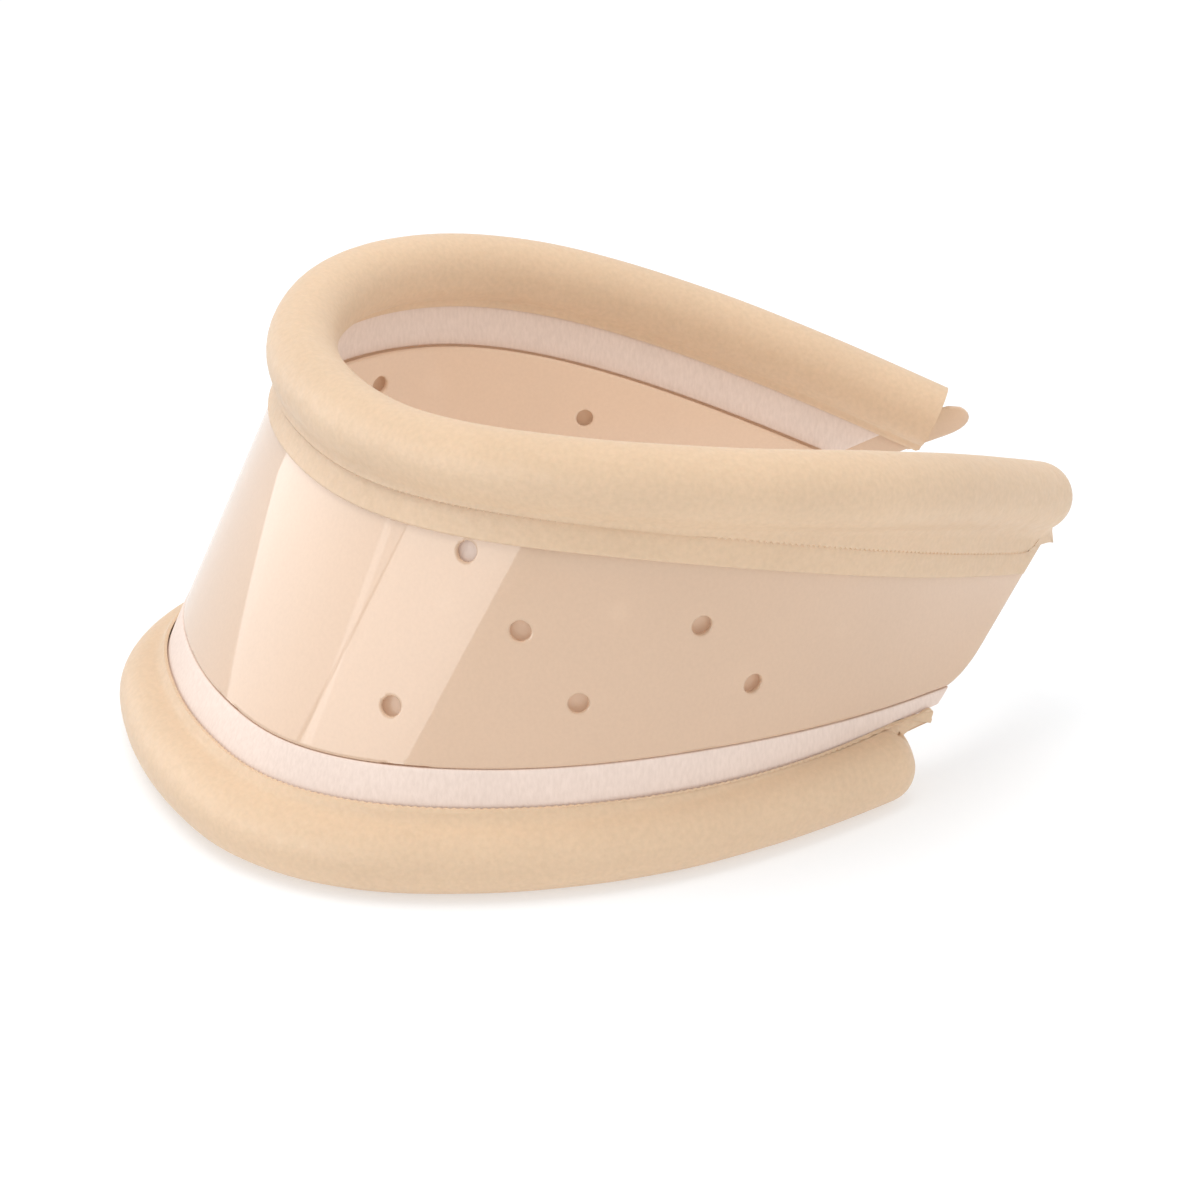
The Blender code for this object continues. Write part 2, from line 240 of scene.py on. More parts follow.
def wall_point(fraction, share, offset=0.0):
    """Points on the wall. fraction, share and offset are arrays of one length, or single numbers."""
    fraction = np.atleast_1d(np.asarray(fraction, float))
    share = np.broadcast_to(np.asarray(share, float), fraction.shape)[:, None]
    offset = np.broadcast_to(np.asarray(offset, float), fraction.shape)[:, None]

    def surface(at):
        return bottom_line(at) * (1 - share) + top_line(at) * share

    step = 0.002
    along = surface(fraction + step) - surface(fraction - step)
    rise = top_line(fraction) - bottom_line(fraction)
    return surface(fraction) + unit(np.cross(along, rise)) * offset


def square_height(line, fraction):
    """The wall's height measured square to a roll."""
    rise = top_line(fraction) - bottom_line(fraction)
    return np.linalg.norm(np.cross(tangent(line, fraction), rise), axis=1)


def share_below_top(fraction, distance):
    return 1 - distance / square_height(top_line, fraction)


def share_above_bottom(fraction, distance):
    return distance / square_height(bottom_line, fraction)


def strip_top_share(fraction):
    return share_above_bottom(fraction, edge_line(BOTTOM_STRIP_TOP, fraction))


def roll_axes(roll, fraction):
    """Outward and away-from-wall axes of the roll, and outward and along-wall axes of its wall."""
    along = tangent(roll.line, fraction)
    rise = (top_line(fraction) - bottom_line(fraction)) * roll.toward_wall
    wall_along = unit(rise - along * (rise * along).sum(1, keepdims=True))
    wall_out = unit(np.cross(along, wall_along)) * roll.toward_wall
    if not roll.lies_flat:
        return (wall_out, -wall_along), (wall_out, wall_along)
    away = np.broadcast_to([0.0, 0.0, -1.0], along.shape)
    return (unit(np.cross(away, along)), away), (wall_out, wall_along)


def lip_edge(roll, fraction, reach, offset):
    """Points of a lip that runs this far along the wall, square to the roll."""
    step = 0.002
    along = (roll.line(fraction + step) - roll.line(fraction - step)) / (2 * step)
    speed = np.linalg.norm(along, axis=1)
    rise = top_line(fraction) - bottom_line(fraction)
    lean = (along * rise).sum(1) / np.linalg.norm(np.cross(along, rise), axis=1)
    shifted = fraction - roll.toward_wall * reach * lean / speed
    return wall_point(shifted, roll.share(shifted, reach), offset)


# ---------------------------------------------------------------- mesh helpers

def make_object(name, points_mm, faces, sharp_angle=50):
    mesh = bpy.data.meshes.new(name)
    mesh.from_pydata((np.asarray(points_mm) * MM).tolist(), [], faces)
    builder = bmesh.new()
    builder.from_mesh(mesh)
    caps = [face for face in builder.faces if len(face.verts) > 4]
    bmesh.ops.triangulate(builder, faces=caps, ngon_method="EAR_CLIP")
    bmesh.ops.recalc_face_normals(builder, faces=builder.faces)
    builder.to_mesh(mesh)
    builder.free()
    mesh.shade_smooth()
    mesh.set_sharp_from_angle(angle=math.radians(sharp_angle))
    made = bpy.data.objects.new(name, mesh)
    bpy.context.scene.collection.objects.link(made)
    return made


def ring_faces(stations, count, first=0):
    """Faces of a tube of rings, with a cap at both ends."""
    grid = first + np.arange(stations * count).reshape(stations, count)
    around = np.roll(grid, -1, axis=1)
    faces = np.stack([grid[:-1], around[:-1], around[1:], grid[1:]], axis=-1).reshape(-1, 4).tolist()
    faces.append(grid[0].tolist())
    faces.append(grid[-1][::-1].tolist())
    return faces


def sweep(name, *tubes):
    """One object of closed solids, each given as rings (stations, points, 3)."""
    points, faces, first = [], [], 0
    for rings in tubes:
        stations, count = rings.shape[:2]
        points.append(rings.reshape(-1, 3))
        faces += ring_faces(stations, count, first)
        first += stations * count
    return make_object(name, np.concatenate(points), faces)


def finish_piece(obj, finish, body, slot, *nodes):
    obj.data.materials.append(finish)
    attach(obj, body)
    if nodes:
        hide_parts(*nodes)
    return obj


# ---------------------------------------------------------------- rolls

def polar(centre, axes, angle, radius):
    """A point round the roll, at an angle from its far side towards its outer side."""
    out, away = axes
    angle = np.broadcast_to(angle, len(centre))
    radius = np.broadcast_to(radius, len(centre))[:, None]
    return centre + (np.sin(angle)[:, None] * out + np.cos(angle)[:, None] * away) * radius


def roll_angle(axes, wall_axes, across, along, side):
    """The angle of a direction given across and along the wall."""
    out, away = axes
    ray = wall_axes[0] * np.reshape(across, (-1, 1)) + wall_axes[1] * np.reshape(along, (-1, 1))
    angle = np.arctan2((ray * out).sum(1), (ray * away).sum(1))
    return np.where(angle * side < 0, angle + side * 2 * math.pi, angle)


def fillet(roll, fraction, face, reach, wished, side, count=6):
    """Points from the lip's face round a hollow fillet to the roll, and the angle where it meets the roll."""
    axes, wall_axes = roll_axes(roll, fraction)
    most = ((reach - 0.2) ** 2 - ROLL_RADIUS**2 + face**2) / (2 * (ROLL_RADIUS - face))
    radius = np.clip(wished, 0.05, np.maximum(most, 0.06))
    run = np.sqrt((ROLL_RADIUS + radius) ** 2 - (face + radius) ** 2)
    whole = np.arctan2(run, face + radius)
    points = []
    for share in np.linspace(0, 1, count):
        turn = math.pi + whole * share
        across = side * (face + radius + radius * np.cos(turn))
        along = run + radius * np.sin(turn)
        points.append(roll.line(fraction) + wall_axes[0] * across[:, None] + wall_axes[1] * along[:, None])
    return points, roll_angle(axes, wall_axes, side * (face + radius), run, side)


def toothed_stations(line, start, end, pitch):
    """Fractions from start to end, two to a tooth, and 1 at each tip, 0 at each root."""
    fine = np.linspace(start, end, 4000)
    length = np.concatenate([[0], np.cumsum(np.linalg.norm(np.diff(line(fine), axis=0), axis=1))])
    teeth = int(length[-1] / pitch)
    stations = np.interp(np.linspace(0, length[-1], 2 * teeth + 1), length, fine)
    return stations, (np.arange(len(stations)) % 2).astype(float)


def unevenness(fraction, seed):
    """Slight swelling and thinning of the stuffed roll along its length, in mm."""
    random = np.random.default_rng(seed)
    wave = np.zeros_like(fraction)
    for cycles in (4, 7, 12, 19):
        wave += np.sin(fraction * math.pi * cycles + random.uniform(0, 6.3)) / cycles
    return 0.3 * wave * (1 - np.abs(fraction) ** 6).clip(0, 1)


def on_floor(points):
    """Presses flat what would lie below the floor."""
    points[..., 2] = np.maximum(points[..., 2], 0.0)
    return points


def cover_stations(roll):
    """Fractions along the tube, its dome and the lips past it, and 1 at each tooth's tip, 0 at its root."""
    start = dome_start(roll)
    fraction, tooth = toothed_stations(roll.line, roll.ends[0], start, TOOTH_PITCH)
    dome = start + (roll.ends[1] - start) * np.sin(np.linspace(0, math.pi / 2, 17)[1:])
    tail = np.linspace(roll.ends[1], roll.lip_end, 6)[1:]
    added = np.concatenate([dome, tail])
    added_tooth = (np.arange(len(added)) // 2 + 1) % 2
    return np.concatenate([fraction, added]), np.concatenate([tooth, added_tooth])


def roll_cover(name, roll, seed):
    """The vinyl cover: round the foam, then down both sides of the wall as lips.

    At the +X end the tube closes in a dome, and the lips run on alone to the band's end.
    """
    fraction, tooth = cover_stations(roll)
    start = dome_start(roll)
    past = ((fraction - start) / (roll.ends[1] - start)).clip(0, 0.9999)
    shrink = np.sqrt(1 - past**2)
    axes, wall_axes = roll_axes(roll, fraction)
    lift = smooth_rise(DOME_LIFT, (fraction - roll.ends[1] + DOME_LIFT_LEAD) / DOME_LIFT_LENGTH)
    root = roll.line(fraction) + wall_axes[1] * lift[:, None]

    reach = edge_line(roll.outer_reach, fraction)
    run_out = ((fraction - roll.lip_end + RUN_OUT_LENGTH) / RUN_OUT_LENGTH).clip(0, 1) ** 1.5
    inner_reach = INNER_LIP_REACH - INNER_RUN_OUT * run_out
    outer_face = roll.outer_lip + LIP_THICKNESS
    inner_face = roll.inner_lip - LIP_THICKNESS
    up_outer, first = fillet(roll, fraction, outer_face, reach, 2.0 + 2.4 * np.abs(fraction), 1)
    up_inner, last = fillet(roll, fraction, -inner_face, inner_reach, 1.6, -1)
    up_outer = drawn_in(up_outer, root, shrink)
    up_inner = drawn_in(up_inner, root, shrink)
    edge = reach - roll.tooth_depth * (1 - tooth)
    edge = edge - roll.run_out * run_out

    def lip(distance, offset):
        skewed = lip_edge(roll, fraction, distance, offset)
        square = wall_point(fraction, roll.share(fraction, distance), offset)
        flush = ((fraction - FLUSH_START) / FLUSH_LENGTH).clip(0, 1)[:, None]
        return skewed * (1 - flush) + square * flush

    profile = [lip(edge, roll.outer_lip), lip(edge, roll.outer_lip + LIP_EDGE)]
    profile.append(lip(edge - 0.2, outer_face - 0.15))
    profile += up_outer
    radius = (ROLL_RADIUS + unevenness(fraction, seed)) * shrink
    for share in np.linspace(0, 1, 34)[1:-1]:
        profile.append(polar(root, axes, first + (last - first) * share, radius))
    profile += up_inner[::-1]
    profile.append(lip(inner_reach, inner_face + LIP_EDGE))
    profile.append(lip(inner_reach, roll.inner_lip))

    hollow = ROLL_RADIUS - COVER_THICKNESS
    begin = roll_angle(axes, wall_axes, roll.inner_lip, math.sqrt(hollow**2 - roll.inner_lip**2), -1)
    stop = roll_angle(axes, wall_axes, roll.outer_lip, math.sqrt(hollow**2 - roll.outer_lip**2), 1)
    inside = hollow * shrink * (1 - 0.3 * past)
    for share in np.linspace(0, 1, 20):
        profile.append(polar(root, axes, begin + (stop - begin) * share, inside))
    return sweep(name, on_floor(np.stack(profile, axis=1)))


def dome_start(roll):
    return roll.ends[1] - ROLL_RADIUS / HALF_LENGTH


def drawn_in(points, root, shrink):
    """Fillet points, from the lip to the roll, that follow the roll as it closes."""
    moved = []
    for share, point in zip(np.linspace(0, 1, len(points)), points):
        toward = root + (point - root) * shrink[:, None]
        moved.append(point + (toward - point) * share)
    return moved


def roll_core(name, roll, seed):
    """The foam core, whose open end shows at the cut -X end."""
    far, near = roll.ends[0], dome_start(roll)
    fraction = np.concatenate([[far + 0.001, far + 0.002, far + 0.006], np.linspace(far + 0.015, near, 160)])
    axes, _ = roll_axes(roll, fraction)
    random = np.random.default_rng(seed)
    radius = np.full_like(fraction, FOAM_RADIUS)
    radius[:2] -= (0.45, 0.12)
    ring = []
    for angle in np.linspace(0, 2 * math.pi, 36, endpoint=False):
        rough = radius + random.uniform(-0.06, 0.0, len(fraction))
        ring.append(polar(roll.line(fraction), axes, angle, rough))
    rings = np.stack(ring, axis=1)
    if roll.lies_flat:
        rings[..., 2] = np.maximum(rings[..., 2], FOAM_FLOOR)
    return sweep(name, rings)


# ---------------------------------------------------------------- tapes

def ribbon(name, start, end, low_edge, high_edge, offsets, crown=0.0, crown_from=None, stations=260):
    """A strip on the wall with rounded edges.

    Its outer face swells by crown between crown_from and the strip's top.
    """
    inner, outer = offsets
    half = (outer - inner) / 2
    edge = min(half, 0.35)
    middle = (outer + inner) / 2
    ease = np.array([0.0, 0.15, 0.5, 1.0]) * half
    run = np.linspace(start, end, stations)
    lead = half / HALF_LENGTH * 1.2
    run = run[(run > start + lead) & (run < end - lead)]
    fraction = np.concatenate([start + ease / HALF_LENGTH, run, (end - ease / HALF_LENGTH)[::-1]])
    from_end = np.minimum(fraction - start, end - fraction) * HALF_LENGTH
    plump = np.sqrt(1 - (1 - np.clip(from_end / half, 0.0, 1)) ** 2).clip(0.25, 1)
    low, high = low_edge(fraction), high_edge(fraction)
    height = (high - low) * np.linalg.norm(top_line(fraction) - bottom_line(fraction), axis=1)
    inset = edge / height
    bulge_from = np.zeros_like(low) if crown_from is None else (crown_from(fraction) - low) / (high - low)

    def level(turn):
        return np.full_like(low, half - edge + edge * math.sin(turn))

    profile = []
    for turn in np.linspace(0, math.pi / 2, 4):
        profile.append((inset * (1 - np.cos(turn)), level(turn)))
    for share in np.linspace(0, 1, 14)[1:-1]:
        profile.append((inset + (1 - 2 * inset) * share, level(math.pi / 2)))
    for turn in np.linspace(math.pi / 2, 0, 4):
        profile.append((1 - inset * (1 - np.cos(turn)), level(turn)))
    for turn in np.linspace(0, math.pi / 2, 4):
        profile.append((1 - inset * (1 - np.cos(turn)), -level(turn)))
    for turn in np.linspace(math.pi / 2, 0, 4):
        profile.append((inset * (1 - np.cos(turn)), -level(turn)))
    rings = []
    for across, thick in profile:
        swell = np.clip((across - bulge_from) / np.maximum(1 - bulge_from, 1e-6), 0, 1)
        raised = crown * np.sin(math.pi * swell) ** 0.6 * (thick > 0)
        share = low + (high - low) * across
        rings.append(wall_point(fraction, share, middle + (thick + raised) * plump))
    return sweep(name, np.stack(rings, axis=1))


# ---------------------------------------------------------------- bands

def sheet_outline(start, end, low_edge, high_edge, inset):
    """Fractions, low shares and high shares of a band with rounded corners, taken in by inset."""
    turn = np.linspace(0, math.pi / 2, 9)
    radius = CORNER_RADIUS - inset
    from_end = inset + radius * (1 - np.cos(turn))
    cut = inset + radius * (1 - np.sin(turn))
    corner = from_end[-1] / HALF_LENGTH
    run = np.linspace(start + corner, end - corner, GRID_COLUMNS)[1:-1]
    fraction = np.concatenate([start + from_end / HALF_LENGTH, run, (end - from_end / HALF_LENGTH)[::-1]])
    back = np.concatenate([cut, np.full(len(run), inset), cut[::-1]])
    low = low_edge(fraction) + share_above_bottom(fraction, back)
    high = high_edge(fraction) - share_above_bottom(fraction, back)
    return fraction, low, high


def sheet_loop(start, end, low_edge, high_edge):
    """The closed outline of a band."""
    fraction, low, high = sheet_outline(start, end, low_edge, high_edge, RIM_BULGE)
    side = np.linspace(0, 1, 8)[1:-1]
    right = [(fraction[-1], low[-1] + (high[-1] - low[-1]) * t) for t in side]
    left = [(fraction[0], high[0] + (low[0] - high[0]) * t) for t in side]
    return np.array(list(zip(fraction, low)) + right + list(zip(fraction[::-1], high[::-1])) + left)


def hole_ring(fraction, share, radius):
    """Fractions and shares of a true circle on the wall."""
    here = wall_point(fraction, share)[0]
    step = 1e-3
    along = (wall_point(fraction + step, share)[0] - here) / step
    up = (wall_point(fraction, share + step)[0] - here) / step
    first = along / np.linalg.norm(along)
    second = up - first * (up @ first)
    second /= np.linalg.norm(second)
    flat = np.linalg.inv(np.array([[along @ first, up @ first], [along @ second, up @ second]]))
    turn = np.linspace(0, 2 * math.pi, HOLE_SIDES, endpoint=False)
    circle = np.stack([np.cos(turn), np.sin(turn)]) * radius
    return (flat @ circle).T + [fraction, share]


def both_sides(holes):
    return [(side * f, s) for f, s in holes for side in (-1, 1)]


def sheet_points(start, end, low_edge, high_edge, holes):
    """The closed loops that bound a band, and the points inside it, as fractions and shares."""
    fraction, low, high = sheet_outline(start, end, low_edge, high_edge, GRID_INSET)
    rows = np.linspace(0, 1, GRID_ROWS)
    inside = np.concatenate([np.stack([fraction, low + (high - low) * share], axis=1) for share in rows])
    for hole in both_sides(holes):
        away = np.linalg.norm(wall_point(inside[:, 0], inside[:, 1]) - wall_point(*hole), axis=1)
        inside = inside[away > HOLE_RADIUS + 1.1]
    loops = [sheet_loop(start, end, low_edge, high_edge)]
    for hole in both_sides(holes):
        loops.append(hole_ring(*hole, HOLE_RADIUS + RIM_BULGE))
        inside = np.concatenate([inside, hole_ring(*hole, HOLE_RADIUS + 0.75)])
    return loops, inside


def triangulate(loops, inside):
    """Places and triangles of a flat mesh that keeps every loop's edges."""
    edges, first = [], 0
    for ring in loops:
        edges += [(first + i, first + (i + 1) % len(ring)) for i in range(len(ring))]
        first += len(ring)
    flat = [Vector((f * HALF_LENGTH, s * GRID_HEIGHT)) for f, s in np.concatenate(loops + [inside])]
    found, _, triangles, *_ = delaunay_2d_cdt(flat, edges, [], 1, 1e-7, False)
    places = np.array([(v.x / HALF_LENGTH, v.y / GRID_HEIGHT) for v in found])
    return places, np.array([list(t) for t in triangles])


def band(name, start, end, low_edge, high_edge, holes, offsets):
    """A thin sheet of plastic with round vent holes and softly rounded edges."""
    places, triangles = triangulate(*sheet_points(start, end, low_edge, high_edge, holes))
    middle = places[triangles].mean(axis=1)
    rim = share_above_bottom(middle[:, 0], RIM_BULGE - 0.03)
    keep = middle[:, 1] > low_edge(middle[:, 0]) + rim
    keep &= middle[:, 1] < high_edge(middle[:, 0]) - rim
    corners = wall_point(places[:, 0], places[:, 1])[triangles]
    keep &= np.linalg.norm(corners - np.roll(corners, 1, axis=1), axis=2).max(axis=1) < LONGEST_EDGE
    on_wall = wall_point(middle[:, 0], middle[:, 1])
    for hole in both_sides(holes):
        keep &= np.linalg.norm(on_wall - wall_point(*hole), axis=1) > HOLE_RADIUS + RIM_BULGE * 0.8
    return thicken(name, places, triangles[keep], offsets)


def thicken(name, places, triangles, offsets):
    """A closed sheet from a flat triangle mesh on the wall, with a half-round rim."""
    inner, outer = offsets
    half, level = (outer - inner) / 2, (outer + inner) / 2
    front = wall_point(places[:, 0], places[:, 1], outer)
    back = wall_point(places[:, 0], places[:, 1], inner)
    normal = unit(front - back)
    first, second, third = (front[triangles[:, i]] for i in range(3))
    facing = np.cross(second - first, third - first)
    flip = (facing * normal[triangles[:, 0]]).sum(1) < 0
    triangles[flip] = triangles[flip][:, ::-1]
    ends = np.concatenate([triangles[:, [0, 1]], triangles[:, [1, 2]], triangles[:, [2, 0]]])
    key = np.sort(ends, axis=1)
    _, index, times = np.unique(key, axis=0, return_index=True, return_counts=True)
    rim = ends[index[times == 1]]
    outward = np.zeros_like(front)
    edge_out = unit(np.cross(front[rim[:, 1]] - front[rim[:, 0]], normal[rim[:, 0]]))
    np.add.at(outward, rim[:, 0], edge_out)
    np.add.at(outward, rim[:, 1], edge_out)
    count = len(places)
    points = [front, back]
    faces = triangles.tolist() + (triangles[:, ::-1] + count).tolist()
    rim_points = np.unique(rim)
    place = {int(p): i for i, p in enumerate(rim_points)}
    away = unit(outward[rim_points])
    rings = []
    for k, turn in enumerate(np.linspace(0, math.pi, 5)[1:-1]):
        base = wall_point(places[rim_points, 0], places[rim_points, 1], level + half * math.cos(turn))
        points.append(base + away * RIM_BULGE * math.sin(turn))
        rings.append(2 * count + k * len(rim_points))
    for a, b in rim.tolist():
        chain = [(a, b)] + [(start + place[a], start + place[b]) for start in rings]
        chain.append((a + count, b + count))
        for (a0, b0), (a1, b1) in zip(chain, chain[1:]):
            faces.append((b0, a0, a1, b1))
    return make_object(name, np.concatenate(points), faces, 75)


# ---------------------------------------------------------------- closure

def patch_low(fraction):
    return np.full_like(fraction, PATCH_LOW)


def patch_high(fraction):
    return np.full_like(fraction, PATCH_HIGH)


def pile(name, span, face, outwards, pitch, height, radius, curl, seed):
    """Hooks or loops standing on a patch, in slightly uneven rows."""
    random = np.random.default_rng(seed)
    columns = np.arange(span[0] + 0.005, span[1] - 0.005, pitch / HALF_LENGTH)
    rows = np.arange(PATCH_LOW + 0.013, PATCH_HIGH - 0.013, pitch / WALL_AT_PATCH)
    turn = np.linspace(0, 1, 6) * math.pi * 0.9
    reach = np.sin(turn) * height
    bent_over = (1 - np.cos(turn)) * height * 0.35 * curl
    thin = radius * np.array([1.2, 1, 1, 1, 0.95, 0.7])[:, None]
    around = np.linspace(0, 2 * math.pi, 5)[:-1]
    tubes = []
    for f in columns:
        for s in rows:
            foot = f + random.uniform(-0.25, 0.25) * pitch / HALF_LENGTH
            foot_share = s + random.uniform(-0.25, 0.25) * pitch / WALL_AT_PATCH
            lean = random.uniform(0, 2 * math.pi) if curl > 1 else random.choice([0.0, math.pi])
            at = foot + bent_over * math.cos(lean) / HALF_LENGTH
            up = foot_share + bent_over * math.sin(lean) / WALL_AT_PATCH
            line = wall_point(at, up, face + outwards * reach)
            along = unit(np.gradient(line, axis=0))
            side = unit(np.cross(along, [0.31, 0.52, 0.8]))
            other = np.cross(along, side)
            ring = [line + (side * math.cos(a) + other * math.sin(a)) * thin for a in around]
            tubes.append(np.stack(ring, axis=1))
    return sweep(name, *tubes)


# ---------------------------------------------------------------- materials

def new_material(name, colour, roughness):
    made = bpy.data.materials.new(name)
    made.use_nodes = True
    shader = made.node_tree.nodes["Principled BSDF"]
    shader.inputs["Base Color"].default_value = (*colour, 1.0)
    shader.inputs["Roughness"].default_value = roughness
    return made, made.node_tree, shader


def node(tree, kind, **values):
    made = tree.nodes.new(kind)
    for name, value in values.items():
        if name in made.inputs:
            made.inputs[name].default_value = value
        else:
            setattr(made, name, value)
    return made


def own_coordinates(tree):
    return node(tree, "ShaderNodeTexCoord").outputs["Object"]


def noise(tree, scale, detail=2.0, stretch=None):
    """Noise over the piece's own coordinates: scale is in patches a metre."""
    made = node(tree, "ShaderNodeTexNoise", Scale=scale, Detail=detail)
    source = own_coordinates(tree)
    if stretch:
        mapping = node(tree, "ShaderNodeMapping")
        mapping.inputs["Scale"].default_value = stretch
        tree.links.new(source, mapping.inputs["Vector"])
        source = mapping.outputs["Vector"]
    tree.links.new(source, made.inputs["Vector"])
    return made.outputs["Fac"]


def cells(tree, scale):
    """Distance to the nearest cell's centre: scale is in cells a metre."""
    made = node(tree, "ShaderNodeTexVoronoi", Scale=scale)
    tree.links.new(own_coordinates(tree), made.inputs["Vector"])
    return made.outputs["Distance"]


def ramp(tree, source, low, high, first, second):
    """Colours or greys from first to second as source goes from low to high."""
    made = node(tree, "ShaderNodeValToRGB")
    made.color_ramp.elements[0].position = low
    made.color_ramp.elements[1].position = high
    made.color_ramp.elements[0].color = (*first, 1.0)
    made.color_ramp.elements[1].color = (*second, 1.0)
    tree.links.new(source, made.inputs["Fac"])
    return made.outputs["Color"]


def colour_layers(tree, shader, broad, fine):
    """Base colour of broad tones, multiplied by a fine grain."""
    made = node(tree, "ShaderNodeMix", data_type="RGBA", blend_type="MULTIPLY", Factor=1.0)
    first, second = (socket for socket in made.inputs if socket.type == "RGBA")
    product = next(socket for socket in made.outputs if socket.type == "RGBA")
    tree.links.new(broad, first)
    tree.links.new(fine, second)
    tree.links.new(product, shader.inputs["Base Color"])


def set_values(shader, values):
    for name, value in values.items():
        shader.inputs[name].default_value = value


def bump(tree, shader, *layers):
    """Stacks bumps of (height, strength, distance in m) onto the shader."""
    last = None
    for height, strength, distance in layers:
        made = node(tree, "ShaderNodeBump", Strength=strength, Distance=distance)
        tree.links.new(height, made.inputs["Height"])
        if last:
            tree.links.new(last, made.inputs["Normal"])
        last = made.outputs["Normal"]
    tree.links.new(last, shader.inputs["Normal"])


def tones(colour, change):
    """A colour made a little darker and a little lighter."""
    return tuple(c * (1 - change) for c in colour), tuple(min(c * (1 + change), 1.0) for c in colour)


def vinyl(name, colour):
    """Soft matt vinyl with a fine leather grain."""
    made, tree, shader = new_material(name, colour, 0.5)
    broad = ramp(tree, noise(tree, 28.0), 0.3, 0.7, *tones(colour, 0.035))
    fine = ramp(tree, noise(tree, 900.0, 3.0), 0.3, 0.7, (0.93, 0.93, 0.92), (1, 1, 1))
    colour_layers(tree, shader, broad, fine)
    rough = ramp(tree, noise(tree, 420.0, 3.0), 0.3, 0.7, (0.42,) * 3, (0.6,) * 3)
    tree.links.new(rough, shader.inputs["Roughness"])
    bump(tree, shader, (cells(tree, 1500.0), 0.25, 0.00012), (noise(tree, 160.0, 3.0), 0.12, 0.0006))
    set_values(shader, {
        "Specular IOR Level": 0.35,
        "Sheen Weight": 0.08,
        "Subsurface Weight": 0.1,
        "Subsurface Radius": (0.002, 0.0012, 0.0008),
    })
    return made


def plastic(name, colour, see_through, gloss, glow):
    """Translucent polyethylene sheet with a glossy skin. glow stands for light coming through it."""
    made, tree, shader = new_material(name, colour, 0.3)
    broad = ramp(tree, noise(tree, 22.0), 0.3, 0.7, *tones(colour, 0.02))
    fine = ramp(tree, noise(tree, 1300.0, 2.0), 0.3, 0.7, (0.965, 0.96, 0.955), (1, 1, 1))
    colour_layers(tree, shader, broad, fine)
    bump(tree, shader, (noise(tree, 35.0, 1.0), 0.05, 0.002), (noise(tree, 1100.0, 2.0), 0.05, 0.0001))
    set_values(shader, {
        "IOR": 1.5,
        "Transmission Weight": see_through,
        "Specular IOR Level": 0.1,
        "Emission Color": (*colour, 1.0),
        "Emission Strength": glow,
        "Coat Weight": gloss,
        "Coat Roughness": 0.035,
    })
    return made


def woven(name, colour, sheen, glow):
    """Fine woven-backed tape. glow stands for light coming through it."""
    made, tree, shader = new_material(name, colour, 0.6)
    broad = ramp(tree, noise(tree, 40.0), 0.3, 0.7, *tones(colour, 0.03))
    threads = noise(tree, 1500.0, 2.0, (1.0, 1.0, 0.35))
    fine = ramp(tree, threads, 0.3, 0.7, (0.92, 0.91, 0.9), (1, 1, 1))
    colour_layers(tree, shader, broad, fine)
    bump(tree, shader, (threads, 0.3, 0.00015), (noise(tree, 180.0), 0.1, 0.0005))
    set_values(shader, {
        "Sheen Weight": sheen,
        "Emission Color": (*colour, 1.0),
        "Emission Strength": glow,
    })
    return made


def foam(name, colour):
    made, tree, shader = new_material(name, colour, 0.95)
    # The pores are painted darker towards their middles: painted shade in the foam's hollows.
    pores = cells(tree, 1300.0)
    pore_shade = tuple(c * 0.55 for c in colour)
    tree.links.new(ramp(tree, pores, 0.1, 0.5, pore_shade, colour), shader.inputs["Base Color"])
    bump(tree, shader, (pores, 0.8, 0.0004))
    return made


def thread(name, colour):
    made, tree, shader = new_material(name, colour, 0.65)
    strands = noise(tree, 3000.0, 1.0)
    tree.links.new(ramp(tree, strands, 0.3, 0.7, *tones(colour, 0.1)), shader.inputs["Base Color"])
    bump(tree, shader, (strands, 0.4, 0.00005))
    return made


# ---------------------------------------------------------------- the collar

def build_top(finishes):
    def low(fraction):
        return strip_top_share(fraction) + share_above_bottom(fraction, BAND_GAP)

    def high(fraction):
        return share_below_top(fraction, EDGE_IN_ROLL)

    def sheet_high(fraction):
        """The band's top edge, which rises at the tab past the cut end of the roll."""
        rise = smooth_rise(TAB_RISE, (TAB_START - fraction) / TAB_RISE_LENGTH)
        return share_below_top(fraction, EDGE_IN_ROLL - rise)

    def flange(fraction):
        return share_below_top(fraction, edge_line(TOP_SEAM_DROP, fraction) + OUTER_FLANGE_WIDTH)

    def inner(fraction):
        return share_below_top(fraction, TOP_INNER_TAPE_REACH)

    sheet = band("outer_sheet", FAR_BAND_END, NEAR_BAND_END, low, sheet_high, UPPER_HOLES, UPPER_BAND)
    finish_piece(sheet, finishes["plastic"], "upper", "plastic", "upper_band")
    tape = ribbon("flange_tape", *TOP_TAPE_ENDS, flange, high, TOP_OUTER_TAPE)
    finish_piece(tape, finishes["vinyl"], "upper", "vinyl", "top_outer_tape")
    tape = ribbon("top_seam_tape", *TOP_TAPE_ENDS, inner, high, TOP_INNER_TAPE)
    finish_piece(tape, finishes["tape"], "upper", "white_tape", "top_inner_tape")
    roll = Roll(
        line=top_line,
        ends=TOP_ROLL_ENDS,
        lip_end=0.967,
        toward_wall=-1,
        lies_flat=False,
        share=share_below_top,
        outer_reach=TOP_SEAM_DROP,
        outer_lip=TOP_OUTER_TAPE[1] + LAYER_GAP,
        inner_lip=TOP_INNER_TAPE[0] - LAYER_GAP,
        tooth_depth=0.5,
        run_out=4.8,
    )
    cover = roll_cover("top_roll", roll, 3)
    finish_piece(cover, finishes["vinyl"], "upper", "vinyl", "top_roll_cover")
    core = roll_core("top_roll_core", roll, 4)
    finish_piece(core, finishes["foam"], "upper", "foam", "top_roll_foam")


